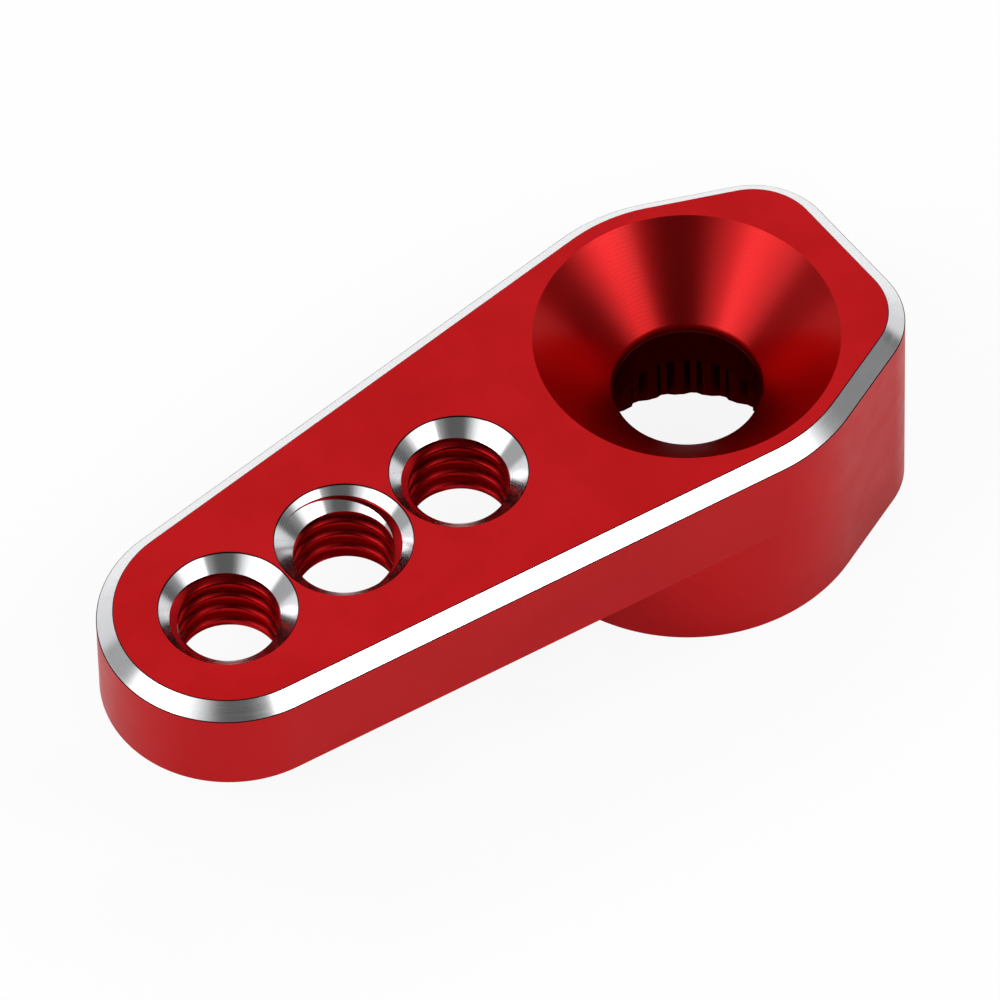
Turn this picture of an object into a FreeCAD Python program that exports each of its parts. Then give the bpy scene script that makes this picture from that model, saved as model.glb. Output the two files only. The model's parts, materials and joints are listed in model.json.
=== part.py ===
"""Servo horn: a short lever arm milled from one block of aluminium.

The hub carries a toothed socket that sits on a servo's output shaft. A countersunk screw holds it there
from above. The arm carries a row of tapped holes for a linkage ball or a clevis screw.

Frame: the origin is on the socket's axis in the plane of the hub's foot, +X runs along the arm to its
tip, +Z runs up the hub towards the countersink. Lengths are millimetres and angles are degrees.
"""
import FreeCAD, Part
import math
import os
import Sketcher

SIZES = [
    # alias, value, what it is
    ("hub_radius", 4.6, "round part of the hub, and of the foot under it"),
    ("hub_height", 6.3, "foot to top face"),
    ("end_reach", 5.2, "socket axis to the flat end of the hub"),
    ("end_cut_turn", 23.2, "angle of each sloped end face to the arm's length"),
    ("end_corner_radius", 2.1, "corner between a sloped end face and the flat end"),
    ("tip_radius", 3.25, "round end of the arm"),
    ("arm_thickness", 2.8, "top face to the milled underside of the arm"),
    ("edge_cut_width", 0.43, "bright edge cut, measured across the top face"),
    ("edge_cut_height", 0.37, "bright edge cut, measured down the side"),
    ("countersink_diameter", 7.65, "mouth of the screw's countersink"),
    ("countersink_angle", 90, "full angle of the countersink"),
    ("screw_bore_diameter", 3.65, "bore for the horn screw"),
    ("socket_depth", 3.0, "depth of the toothed socket from the foot"),
    ("spline_teeth", 25, "teeth round the socket"),
    ("spline_crest_diameter", 5.5, "across the crests of the socket's teeth"),
    ("spline_root_diameter", 5.96, "across the roots between the socket's teeth"),
    ("spline_root_width", 0.16, "width of the flat at the root of a tooth space"),
    ("spline_flank_angle", 64, "full angle between the two flanks of a tooth space"),
    ("socket_mouth_diameter", 6.4, "mouth of the socket's lead-in"),
    ("link_hole_count", 3, "tapped holes in the arm"),
    ("link_hole_first", 7.0, "socket axis to the nearest tapped hole"),
    ("link_hole_pitch", 3.5, "spacing of the tapped holes"),
    ("link_core_diameter", 2.5, "core of the M3 coarse thread"),
    ("link_mouth_diameter", 3.47, "mouth of a tapped hole's chamfer, above and below"),
]

SHEET_NAME = "Sizes"
NODE = "servo_horn"


def make_sheet(doc):
    """The driving dimensions: a plain number in column B, its alias, and what it means."""
    sheet = doc.addObject("Spreadsheet::Sheet", SHEET_NAME)
    for row, (alias, value, meaning) in enumerate(SIZES, start=1):
        sheet.set("A%d" % row, meaning)
        sheet.set("B%d" % row, str(value))
        sheet.setAlias("B%d" % row, alias)
    doc.recompute()
    return sheet


def cell(name):
    """The expression that reads one cell."""
    return "<<%s>>.%s" % (SHEET_NAME, name)


def origin_feature(body, role):
    """One of the body's own origin planes or axes, found by its role."""
    for feature in body.Origin.OriginFeatures:
        if feature.Role == role:
            return feature
    raise LookupError(role)


def new_sketch(body, name, role):
    """A sketch laid on one of the body's origin planes."""
    sketch = body.newObject("Sketcher::SketchObject", name)
    sketch.AttachmentSupport = [(origin_feature(body, role), "")]
    sketch.MapMode = "FlatFace"
    return sketch


def drive(sketch, constraint, expression):
    """Adds a size constraint and ties it to the sheet."""
    index = sketch.addConstraint(constraint)
    sketch.setExpression("Constraints[%d]" % index, expression)
    return index


def point(x, y):
    return FreeCAD.Vector(x, y, 0)


def add_line(sketch, start, end):
    return sketch.addGeometry(Part.LineSegment(point(*start), point(*end)), False)


def add_arc(sketch, centre, radius, start_deg, end_deg):
    """An arc drawn anticlockwise from one angle to the other."""
    circle = Part.Circle(point(*centre), FreeCAD.Vector(0, 0, 1), radius)
    arc = Part.ArcOfCircle(circle, math.radians(start_deg), math.radians(end_deg))
    return sketch.addGeometry(arc, False)


def polar(radius, angle_deg):
    angle = math.radians(angle_deg)
    return radius * math.cos(angle), radius * math.sin(angle)


def tip_hole_x(size):
    return size.link_hole_first + (size.link_hole_count - 1) * size.link_hole_pitch


TIP_HOLE_X = "(%s + (%s - 1) * %s)" % (
    cell("link_hole_first"), cell("link_hole_count"), cell("link_hole_pitch"))


def side_angle(size):
    """Direction, from the socket axis, in which an arm side touches the round of the hub."""
    return math.degrees(math.acos((size.hub_radius - size.tip_radius) / tip_hole_x(size)))


SIDE_ANGLE = "acos((%s - %s) / %s)" % (cell("hub_radius"), cell("tip_radius"), TIP_HOLE_X)


def draw_outline(body, size):
    """Plan of the whole horn: two round ends, their common tangents, and the cut-off rear of the hub."""
    sketch = new_sketch(body, "horn_outline", "XY_Plane")
    tip_x = tip_hole_x(size)
    side = side_angle(size)
    cut = 90 + size.end_cut_turn
    corner = size.end_corner_radius
    end_x = -size.end_reach
    corner_x = end_x + corner
    # the corner's centre lies one corner radius inside the sloped face
    corner_y = (size.hub_radius - corner - corner_x * math.cos(math.radians(cut))) / math.sin(
        math.radians(cut))
    tip_top = tip_x + polar(size.tip_radius, side)[0], polar(size.tip_radius, side)[1]
    hub_side, hub_cut = polar(size.hub_radius, side), polar(size.hub_radius, cut)
    corner_cut = corner_x + polar(corner, cut)[0], corner_y + polar(corner, cut)[1]
    corner_end = end_x, corner_y

    def below(spot):
        return spot[0], -spot[1]

    # anticlockwise from the lower end of the tip's round
    tip = add_arc(sketch, (tip_x, 0), size.tip_radius, -side, side)
    upper_side = add_line(sketch, tip_top, hub_side)
    upper_hub = add_arc(sketch, (0, 0), size.hub_radius, side, cut)
    upper_cut = add_line(sketch, hub_cut, corner_cut)
    upper_corner = add_arc(sketch, (corner_x, corner_y), corner, cut, 180)
    end = add_line(sketch, corner_end, below(corner_end))
    lower_corner = add_arc(sketch, (corner_x, -corner_y), corner, 180, 360 - cut)
    lower_cut = add_line(sketch, below(corner_cut), below(hub_cut))
    lower_hub = add_arc(sketch, (0, 0), size.hub_radius, 360 - cut, 360 - side)
    lower_side = add_line(sketch, below(hub_side), below(tip_top))

    loop = [tip, upper_side, upper_hub, upper_cut, upper_corner,
            end, lower_corner, lower_cut, lower_hub, lower_side]
    for this, following in zip(loop, loop[1:] + loop[:1]):
        sketch.addConstraint(Sketcher.Constraint("Tangent", this, 2, following, 1))
    for hub in (upper_hub, lower_hub):
        sketch.addConstraint(Sketcher.Constraint("Coincident", hub, 3, -1, 1))
        drive(sketch, Sketcher.Constraint("Radius", hub, size.hub_radius), cell("hub_radius"))
    sketch.addConstraint(Sketcher.Constraint("PointOnObject", tip, 3, -1))
    drive(sketch, Sketcher.Constraint("DistanceX", -1, 1, tip, 3, tip_x), TIP_HOLE_X)
    drive(sketch, Sketcher.Constraint("Radius", tip, size.tip_radius), cell("tip_radius"))
    turn = math.radians(size.end_cut_turn)
    drive(sketch, Sketcher.Constraint("Angle", -1, 1, upper_cut, 2, turn), cell("end_cut_turn"))
    drive(sketch, Sketcher.Constraint("Angle", lower_cut, 1, -1, 1, turn), cell("end_cut_turn"))
    for corner_arc in (upper_corner, lower_corner):
        drive(sketch, Sketcher.Constraint("Radius", corner_arc, corner), cell("end_corner_radius"))
    sketch.addConstraint(Sketcher.Constraint("Vertical", end))
    drive(sketch, Sketcher.Constraint("DistanceX", end, 1, -1, 1, size.end_reach), cell("end_reach"))
    return sketch


def draw_underside(body, size):
    """What the cutter takes from under the arm: everything on the tip's side of the round foot."""
    sketch = new_sketch(body, "underside_cut", "XY_Plane")
    side = side_angle(size)
    clear = 2 * size.tip_radius
    far_x = tip_hole_x(size) + clear
    upper, lower = polar(size.hub_radius, side), polar(size.hub_radius, -side)
    out_upper, out_lower = (polar(size.hub_radius + clear, a) for a in (side, -side))
    foot = add_arc(sketch, (0, 0), size.hub_radius, -side, side)
    rise = add_line(sketch, upper, out_upper)
    top = add_line(sketch, out_upper, (far_x, out_upper[1]))
    far = add_line(sketch, (far_x, out_upper[1]), (far_x, out_lower[1]))
    bottom = add_line(sketch, (far_x, out_lower[1]), out_lower)
    fall = add_line(sketch, out_lower, lower)
    loop = [(foot, 2), (rise, 1), (rise, 2), (top, 1), (top, 2), (far, 1), (far, 2), (bottom, 1),
            (bottom, 2), (fall, 1), (fall, 2), (foot, 1)]
    for (a, a_end), (b, b_end) in zip(loop[0::2], loop[1::2]):
        sketch.addConstraint(Sketcher.Constraint("Coincident", a, a_end, b, b_end))
    sketch.addConstraint(Sketcher.Constraint("Coincident", foot, 3, -1, 1))
    drive(sketch, Sketcher.Constraint("Radius", foot, size.hub_radius), cell("hub_radius"))
    for line in (top, bottom):
        sketch.addConstraint(Sketcher.Constraint("Horizontal", line))
    sketch.addConstraint(Sketcher.Constraint("Vertical", far))
    # both flanks stand square on the arm's sides, where those touch the foot
    drive(sketch, Sketcher.Constraint("Angle", -1, 1, rise, 1, math.radians(side)), SIDE_ANGLE)
    drive(sketch, Sketcher.Constraint("Angle", fall, 2, -1, 1, math.radians(side)), SIDE_ANGLE)
    for line, end_point in ((rise, 1), (fall, 2)):
        sketch.addConstraint(Sketcher.Constraint("PointOnObject", -1, 1, line))
    for line in (rise, fall):
        drive(sketch, Sketcher.Constraint("Distance", line, clear), "2 * " + cell("tip_radius"))
    drive(sketch, Sketcher.Constraint("DistanceX", -1, 1, far, 1, far_x),
          "%s + 2 * %s" % (TIP_HOLE_X, cell("tip_radius")))
    return sketch


def draw_section(sketch, corners, sizes):
    """A closed turned section beside the sketch's vertical axis. sizes maps a corner to its tied X and Y."""
    lines = [add_line(sketch, a, b) for a, b in zip(corners, corners[1:] + corners[:1])]
    for this, following in zip(lines, lines[1:] + lines[:1]):
        sketch.addConstraint(Sketcher.Constraint("Coincident", this, 2, following, 1))
    for line, (x, y), (x_tie, y_tie) in zip(lines, corners, sizes):
        if x_tie is None:
            sketch.addConstraint(Sketcher.Constraint("PointOnObject", line, 1, -2))
        else:
            drive(sketch, Sketcher.Constraint("DistanceX", -1, 1, line, 1, x), x_tie)
        if y_tie is None:
            sketch.addConstraint(Sketcher.Constraint("PointOnObject", line, 1, -1))
        else:
            drive(sketch, Sketcher.Constraint("DistanceY", -1, 1, line, 1, y), y_tie)
    return lines


def turn_out(body, sketch, name):
    """Cuts the section out all the way round its sketch's vertical axis."""
    groove = body.newObject("PartDesign::Groove", name)
    groove.Profile = sketch
    groove.ReferenceAxis = (sketch, ["V_Axis"])
    groove.Angle = 360
    return groove


def cut_hub_section(body, size):
    """Countersink, screw bore, socket and its lead-in: one turned section on the socket's axis."""
    sketch = new_sketch(body, "hub_section", "XZ_Plane")
    mouth, bore = size.countersink_diameter / 2, size.screw_bore_diameter / 2
    crest, lead = size.spline_crest_diameter / 2, size.socket_mouth_diameter / 2
    seat_z = size.hub_height - (mouth - bore) / math.tan(math.radians(size.countersink_angle / 2))
    corners = [(0, size.hub_height), (mouth, size.hub_height), (bore, seat_z),
               (bore, size.socket_depth), (crest, size.socket_depth), (crest, lead - crest),
               (lead, 0), (0, 0)]
    seat = "%s - (%s - %s) / 2 / tan(%s * 1 deg / 2)" % (
        cell("hub_height"), cell("countersink_diameter"), cell("screw_bore_diameter"),
        cell("countersink_angle"))
    lead_in = "(%s - %s) / 2" % (cell("socket_mouth_diameter"), cell("spline_crest_diameter"))
    half = {name: cell(name) + " / 2" for name in (
        "countersink_diameter", "screw_bore_diameter", "spline_crest_diameter",
        "socket_mouth_diameter")}
    draw_section(sketch, corners, [
        (None, cell("hub_height")), (half["countersink_diameter"], cell("hub_height")),
        (half["screw_bore_diameter"], seat), (half["screw_bore_diameter"], cell("socket_depth")),
        (half["spline_crest_diameter"], cell("socket_depth")),
        (half["spline_crest_diameter"], lead_in), (half["socket_mouth_diameter"], None),
        (None, None)])
    return turn_out(body, sketch, "hub_bore")


def cut_spline(body, size):
    """The spaces between the socket's teeth: one cut, repeated round the socket."""
    sketch = new_sketch(body, "tooth_space", "XY_Plane")
    root, inner = size.spline_root_diameter / 2, size.screw_bore_diameter / 2
    half_root = size.spline_root_width / 2
    slope = math.tan(math.radians(size.spline_flank_angle / 2))
    half_inner = half_root + (root - inner) * slope
    corners = [(root, -half_root), (root, half_root), (inner, half_inner), (inner, -half_inner)]
    half_root_tie = cell("spline_root_width") + " / 2"
    half_inner_tie = "%s + (%s - %s) / 2 * tan(%s * 1 deg / 2)" % (
        half_root_tie, cell("spline_root_diameter"), cell("screw_bore_diameter"),
        cell("spline_flank_angle"))
    lines = [add_line(sketch, a, b) for a, b in zip(corners, corners[1:] + corners[:1])]
    for this, following in zip(lines, lines[1:] + lines[:1]):
        sketch.addConstraint(Sketcher.Constraint("Coincident", this, 2, following, 1))
    ties = [(cell("spline_root_diameter") + " / 2", half_root_tie),
            (cell("screw_bore_diameter") + " / 2", half_inner_tie)]
    for lower, upper, (x_tie, y_tie) in ((lines[0], lines[1], ties[0]), (lines[3], lines[2], ties[1])):
        x, y = sketch.getPoint(upper, 1).x, abs(sketch.getPoint(upper, 1).y)
        drive(sketch, Sketcher.Constraint("DistanceX", -1, 1, upper, 1, x), x_tie)
        drive(sketch, Sketcher.Constraint("DistanceY", -1, 1, upper, 1, y), y_tie)
        sketch.addConstraint(Sketcher.Constraint("Symmetric", upper, 1, lower, 1, -1))
    space = body.newObject("PartDesign::Pocket", "tooth_space_cut")
    space.Profile = sketch
    space.Type = "Length"
    space.Reversed = True
    space.setExpression("Length", cell("socket_depth"))
    body.Document.recompute()
    ring = body.newObject("PartDesign::PolarPattern", "spline")
    ring.Originals = [space]
    ring.Axis = (origin_feature(body, "Z_Axis"), [""])
    ring.Angle = 360
    ring.setExpression("Occurrences", cell("spline_teeth"))
    body.Tip = ring
    return ring


def cut_link_holes(body, size):
    """The tapped holes at core size, each with a chamfer above and below, in a row along the arm."""
    sketch = new_sketch(body, "link_hole_section", "XZ_Plane")
    sketch.setExpression("AttachmentOffset.Base.x", cell("link_hole_first"))
    core, mouth = size.link_core_diameter / 2, size.link_mouth_diameter / 2
    chamfer = mouth - core
    under = size.hub_height - size.arm_thickness
    corners = [(0, size.hub_height), (mouth, size.hub_height), (core, size.hub_height - chamfer),
               (core, under + chamfer), (mouth, under), (0, under)]
    chamfer_tie = "(%s - %s) / 2" % (cell("link_mouth_diameter"), cell("link_core_diameter"))
    under_tie = "%s - %s" % (cell("hub_height"), cell("arm_thickness"))
    core_tie, mouth_tie = cell("link_core_diameter") + " / 2", cell("link_mouth_diameter") + " / 2"
    draw_section(sketch, corners, [
        (None, cell("hub_height")), (mouth_tie, cell("hub_height")),
        (core_tie, "%s - %s" % (cell("hub_height"), chamfer_tie)),
        (core_tie, "%s + %s" % (under_tie, chamfer_tie)), (mouth_tie, under_tie),
        (None, under_tie)])
    hole = turn_out(body, sketch, "link_hole")
    body.Document.recompute()
    row = body.newObject("PartDesign::LinearPattern", "link_holes")
    row.Originals = [hole]
    row.Direction = (origin_feature(body, "X_Axis"), [""])
    row.setExpression("Length", "(%s - 1) * %s" % (cell("link_hole_count"), cell("link_hole_pitch")))
    row.setExpression("Occurrences", cell("link_hole_count"))
    body.Tip = row
    return row


def cut_top_edge(body, base, size):
    """The bright cut along the whole upper edge, wider across the top than down the side."""
    top_edges = []
    for index, edge in enumerate(base.Shape.Edges, start=1):
        box = edge.BoundBox
        if box.ZMin > size.hub_height - 1e-6:
            top_edges.append("Edge%d" % index)
    chamfer = body.newObject("PartDesign::Chamfer", "edge_cut")
    chamfer.Base = (base, top_edges)
    chamfer.ChamferType = "Two distances"
    chamfer.setExpression("Size", cell("edge_cut_width"))
    chamfer.setExpression("Size2", cell("edge_cut_height"))
    return chamfer


def build_horn(doc, size):
    """The horn in the order in which it is machined."""
    body = doc.addObject("PartDesign::Body", NODE)
    body.Label = NODE

    block = body.newObject("PartDesign::Pad", "blank")
    block.Profile = draw_outline(body, size)
    block.setExpression("Length", cell("hub_height"))
    doc.recompute()

    cut_top_edge(body, block, size)
    doc.recompute()

    underside = body.newObject("PartDesign::Pocket", "underside")
    underside.Profile = draw_underside(body, size)
    underside.Reversed = True
    underside.setExpression("Length", "%s - %s" % (cell("hub_height"), cell("arm_thickness")))
    doc.recompute()

    cut_hub_section(body, size)
    doc.recompute()
    cut_spline(body, size)
    doc.recompute()
    cut_link_holes(body, size)
    doc.recompute()
    return body


def check(doc, bodies):
    """Stops if any object failed to build, or a piece isn't one valid closed solid."""
    for obj in doc.Objects:
        for state in obj.State:
            if state in ("Invalid", "Error"):
                raise RuntimeError("%s is %s" % (obj.Name, state))
    for body in bodies:
        shape = body.Shape
        if shape.isNull() or not shape.isValid() or len(shape.Solids) != 1:
            raise RuntimeError("%s isn't one valid solid" % body.Label)


def main():
    doc = FreeCAD.newDocument("ServoHorn")
    size = make_sheet(doc)
    bodies = [build_horn(doc, size)]
    doc.recompute()
    check(doc, bodies)
    os.makedirs("parts", exist_ok=True)
    for body in bodies:
        body.Shape.exportStep(os.path.join("parts", body.Label + ".step"))
        shape = body.Shape
        box = shape.BoundBox
        print("%s: volume %.2f mm3, area %.2f mm2, centre of mass x %.3f z %.3f, box %.3f x %.3f x %.3f" % (
            body.Label, shape.Volume, shape.Area, shape.Solids[0].CenterOfMass.x,
            shape.Solids[0].CenterOfMass.z, box.XLength, box.YLength, box.ZLength))
    return doc


main()
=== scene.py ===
# %% [markdown]
# # A red anodised servo horn
#
# A servo horn is the short lever that turns a servo's rotation into a push and a pull. This one is milled
# from a block of aluminium, tapped, anodised red and then bright-cut: a last pass with a chamfer mill
# takes the red skin off the top edge and off the mouths of the three tapped holes.
#
# The script follows that order. It makes the blank, takes the holes out of it with tools of the right
# shape, and gives each surface the finish that its own cut left. The threads, the bore, the socket and the
# bottom edges also get a darker red, which is painted shade.

# %% Load the imported model
import json
import math

import bmesh
import bpy
from mathutils import Matrix, Vector


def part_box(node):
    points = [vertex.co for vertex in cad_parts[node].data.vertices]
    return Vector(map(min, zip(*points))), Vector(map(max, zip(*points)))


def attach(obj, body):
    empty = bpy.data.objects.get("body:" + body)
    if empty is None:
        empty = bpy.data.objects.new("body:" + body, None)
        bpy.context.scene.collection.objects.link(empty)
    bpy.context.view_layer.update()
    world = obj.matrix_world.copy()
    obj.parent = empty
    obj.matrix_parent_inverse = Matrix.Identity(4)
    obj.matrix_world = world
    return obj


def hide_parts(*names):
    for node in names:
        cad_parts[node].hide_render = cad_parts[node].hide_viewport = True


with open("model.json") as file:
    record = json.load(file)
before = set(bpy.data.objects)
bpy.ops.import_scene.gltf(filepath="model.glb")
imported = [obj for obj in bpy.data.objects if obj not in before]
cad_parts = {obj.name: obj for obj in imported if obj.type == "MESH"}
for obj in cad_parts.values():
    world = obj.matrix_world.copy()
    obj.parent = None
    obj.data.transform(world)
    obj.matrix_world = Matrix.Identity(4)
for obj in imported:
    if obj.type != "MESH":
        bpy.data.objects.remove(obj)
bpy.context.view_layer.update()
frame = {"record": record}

# %% [markdown]
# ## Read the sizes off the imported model
#
# Blender only gives the horn its looks, so no main size is typed in twice. The box of the solid gives its
# reach, width and height, and the record's mounts give every hole. The script works in millimetres,
# because the numbers stay easy to read, and shrinks the finished mesh to metres at the very end.

# %% Sizes from the frame, in millimetres
MM = 0.001
NODE = "servo_horn"
low, high = (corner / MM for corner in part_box(NODE))
mounts = {mount["name"]: mount for mount in frame["record"]["mounts"]}
LINK_HOLES = ["link_hole_near", "link_hole_middle", "link_hole_tip"]

hub_radius = high.y
hub_height = high.z
end_reach = -low.x
link_x = [mounts[name]["pos_m"][0] / MM for name in LINK_HOLES]
link_pitch = link_x[1] - link_x[0]
link_core = mounts[LINK_HOLES[0]]["dims"]["r_mm"]
link_wall = mounts[LINK_HOLES[0]]["dims"]["length_mm"]
link_middle_z = mounts[LINK_HOLES[0]]["pos_m"][2] / MM
tip_x = link_x[-1]
tip_radius = high.x - tip_x
arm_under = 2 * link_middle_z - hub_height
link_chamfer = (hub_height - arm_under - link_wall) / 2

screw_bore = mounts["screw_bore"]["dims"]["r_mm"]
screw_bore_z = mounts["screw_bore"]["pos_m"][2] / MM
screw_bore_wall = mounts["screw_bore"]["dims"]["length_mm"]
seat_z = screw_bore_z + screw_bore_wall / 2
socket_depth = screw_bore_z - screw_bore_wall / 2
countersink_radius = screw_bore + hub_height - seat_z
spline_crest = mounts["spline_socket"]["dims"]["r_mm"]

print("length, width, height:", [round(v, 3) for v in (end_reach + high.x, 2 * hub_radius, hub_height)])
print("arm underside, tip radius, link pitch:", [round(v, 3) for v in (arm_under, tip_radius, link_pitch)])
print("countersink radius", round(countersink_radius, 3), "seat at", round(seat_z, 3))

# %% [markdown]
# The record holds no small sizes, such as the cut along the top edge, the tooth form or the thread. They
# are typed in here once, under names that say what they measure.

# %% Sizes that the record doesn't hold, in millimetres and degrees
END_CUT_TURN = 23.2
END_CORNER_RADIUS = 2.1
EDGE_CUT_WIDTH = 0.43
EDGE_CUT_HEIGHT = 0.37
SPLINE_TEETH = 25
SPLINE_ROOT = 2.98
SPLINE_ROOT_WIDTH = 0.16
SPLINE_FLANK_ANGLE = 64
SOCKET_MOUTH = 3.2
THREAD_PITCH = 0.5
THREAD_MAJOR = 1.59
EDGE_BREAK = 0.03
OXIDE_EDGE = 0.028
ARC_STEP = 1.5
ROUND_STEPS = 192

side_turn = math.degrees(math.acos((hub_radius - tip_radius) / tip_x))
cut_turn = 90 + END_CUT_TURN
print("the arm's sides touch the hub", round(side_turn, 2), "degrees from its length")

# %% [markdown]
# ## Finishes
#
# The surfaces of the real horn look different, though they are all the same metal. Each finish below is a
# metal whose colour hardly changes over the surface: what tells them apart is their roughness and the fine
# relief that the cutter left, and for the threads and for the bore, the socket and the bottom edges also a
# darker red that is painted shade. A pattern is read in millimetres from the horn itself, so it keeps its
# size on every face.

# %% Helpers for finishes
def add_node(tree, kind, values=None, **settings):
    """Adds a node, sets its own settings by keyword and its sockets by a dictionary of names."""
    node = tree.nodes.new(kind)
    for name, value in settings.items():
        setattr(node, name, value)
    for name, value in (values or {}).items():
        node.inputs[name].default_value = value
    return node


def join(tree, output, target, socket):
    tree.links.new(output, target.inputs[socket])
    return target


def feed_sockets(tree, node, values):
    """Gives a node's sockets their values in order, each an output of another node or a number."""
    for socket, value in enumerate(values):
        if isinstance(value, (int, float)):
            node.inputs[socket].default_value = value
        else:
            tree.links.new(value, node.inputs[socket])
    return node.outputs[0]


def calculate(tree, operation, first, second=0.0):
    """A Math node on outputs or numbers."""
    return feed_sockets(tree, add_node(tree, "ShaderNodeMath", operation=operation), (first, second))


def point_at(tree, x, y, z=0.0):
    """A Combine XYZ node on outputs or numbers."""
    return feed_sockets(tree, add_node(tree, "ShaderNodeCombineXYZ"), (x, y, z))


def start_finish(name, **sockets):
    """A material with one metal shader: returns the material, its tree and the shader."""
    finish = bpy.data.materials.new(name)
    finish.use_nodes = True
    tree = finish.node_tree
    shader = tree.nodes["Principled BSDF"]
    shader.inputs["Metallic"].default_value = 1.0
    for socket, value in sockets.items():
        shader.inputs[socket.replace("_", " ").title()].default_value = value
    return finish, tree, shader


def place_mm(tree):
    """The point on the horn, in millimetres."""
    place = add_node(tree, "ShaderNodeTexCoord").outputs["Object"]
    scaled = add_node(tree, "ShaderNodeVectorMath", {"Scale": 1 / MM}, operation="SCALE")
    return join(tree, place, scaled, 0).outputs["Vector"]


def noise(tree, vector, scale, detail=2.0, roughness=0.5):
    node = add_node(tree, "ShaderNodeTexNoise", {"Scale": scale, "Detail": detail, "Roughness": roughness})
    return join(tree, vector, node, "Vector").outputs["Fac"]


def spread(tree, value, low_value, high_value, from_low=0.3, from_high=0.7):
    """Stretches a noise value onto the range that a socket needs."""
    node = add_node(tree, "ShaderNodeMapRange", {
        "From Min": from_low, "From Max": from_high, "To Min": low_value, "To Max": high_value})
    return join(tree, value, node, "Value").outputs["Result"]


def blend(tree, share, first, second):
    """A colour between two. A Mix node has its colours at inputs 6 and 7, and its colour at output 2."""
    mix = add_node(tree, "ShaderNodeMix", data_type="RGBA")
    mix.inputs[6].default_value = first
    mix.inputs[7].default_value = second
    tree.links.new(share, mix.inputs[0])
    return mix.outputs[2]


def add_relief(tree, shader, height, depth_mm):
    """Bump with a real depth in millimetres."""
    bump = add_node(tree, "ShaderNodeBump", {"Strength": 1.0, "Distance": depth_mm * MM})
    join(tree, height, bump, "Height")
    join(tree, bump.outputs["Normal"], shader, "Normal")


print("helpers ready, one unit of a pattern is", MM, "m")

# %% [markdown]
# ### Satin red
#
# Before the dye bath the milled block is etched, which leaves an even, very fine grain. The dye sits in
# a clear oxide skin, so the metal below shines through it: a red metal, never a red paint. Its colour
# drifts by a few percent where the bath was stronger.

# %% Satin red for the top, the sides and the underside
RED_DEEP = (0.49, 0.0095, 0.0115, 1)
RED_LIGHT = (0.53, 0.0115, 0.0140, 1)
SATIN_GRAIN = 0.0009


def red_colour(tree, shader, vector, deep=RED_DEEP, light=RED_LIGHT):
    """The dye's slow drift between a deeper and a lighter red."""
    drift = spread(tree, noise(tree, vector, 0.35, detail=1.0), 0.0, 1.0)
    join(tree, blend(tree, drift, deep, light), shader, "Base Color")


def satin_red():
    finish, tree, shader = start_finish("satin_red", specular_tint=(1, 0.8, 0.8, 1))
    vector = place_mm(tree)
    red_colour(tree, shader, vector)
    join(tree, spread(tree, noise(tree, vector, 1.4), 0.30, 0.37), shader, "Roughness")
    add_relief(tree, shader, noise(tree, vector, 16.0, detail=3.0), SATIN_GRAIN)
    return finish


satin = satin_red()
print("finish:", satin.name, "with a grain of", SATIN_GRAIN, "mm")

# %% [markdown]
# ### Turned red
#
# The countersink was bored with a single point that fed inwards less than a tenth of a millimetre a turn.
# Its rings are still there under the dye, and they stretch every reflection along the slope of the cone.

# %% Turned red for the countersink
# a quarter turn: a highlight stretches across the marks that a tool leaves, not along them
ACROSS = 0.25
TURNED_DEEP = (0.51, 0.003, 0.004, 1)
TURNED_LIGHT = (0.55, 0.004, 0.005, 1)
TURNED_FEED = 0.075
TURNED_RELIEF = 0.0005
RING_WANDER = 4.0


def ring_coordinates(tree, vector):
    """Distance from the Z axis, and the direction round it, for marks left by turning."""
    split = join(tree, vector, add_node(tree, "ShaderNodeSeparateXYZ"), 0)
    flat = add_node(tree, "ShaderNodeCombineXYZ")
    join(tree, split.outputs["X"], flat, "X")
    join(tree, split.outputs["Y"], flat, "Y")
    length = join(tree, flat.outputs[0], add_node(tree, "ShaderNodeVectorMath", operation="LENGTH"), 0)
    across = join(tree, flat.outputs[0], add_node(
        tree, "ShaderNodeVectorMath", operation="CROSS_PRODUCT"), 1)
    across.inputs[0].default_value = (0, 0, 1)
    around = join(tree, across.outputs["Vector"], add_node(
        tree, "ShaderNodeVectorMath", operation="NORMALIZE"), 0)
    return length.outputs["Value"], around.outputs["Vector"]


def ring_marks(tree, vector, feed):
    """Rings one feed apart about the Z axis. The wave node draws ten rings to 2 pi units at scale 1."""
    rings = add_node(tree, "ShaderNodeTexWave", {
        "Scale": math.pi / 10 / feed, "Distortion": RING_WANDER, "Detail": 1.0, "Detail Scale": 0.6},
        wave_type="RINGS", rings_direction="Z", wave_profile="SIN")
    return join(tree, vector, rings, "Vector").outputs["Fac"]


def turned_red():
    finish, tree, shader = start_finish(
        "turned_red", anisotropic=0.4, anisotropic_rotation=ACROSS, specular_tint=(0.8, 0.1, 0.1, 1),
        coat_weight=0.3, coat_roughness=0.2)
    vector = place_mm(tree)
    red_colour(tree, shader, vector, TURNED_DEEP, TURNED_LIGHT)
    join(tree, ring_coordinates(tree, vector)[1], shader, "Tangent")
    rings = ring_marks(tree, vector, TURNED_FEED)
    join(tree, spread(tree, rings, 0.28, 0.34, 0.0, 1.0), shader, "Roughness")
    add_relief(tree, shader, rings, TURNED_RELIEF)
    return finish


turned = turned_red()
print("finish:", turned.name, "with rings", TURNED_FEED, "mm apart")

# %% [markdown]
# ### Threads
#
# A tap cuts and burnishes, so its flanks are smoother than the faces round them and shine more. Their red
# is painted darker than on the open faces: painted shade for the inside of the narrow holes.

# %% Glossy red for the threads
# painted shade: the threads' red is darker than the satin red, for the shade inside the holes
TAPPED_SHADED_DEEP = (0.34, 0.006, 0.008, 1)
TAPPED_SHADED_LIGHT = (0.39, 0.008, 0.010, 1)
TAPPED_RELIEF = 0.0006


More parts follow.
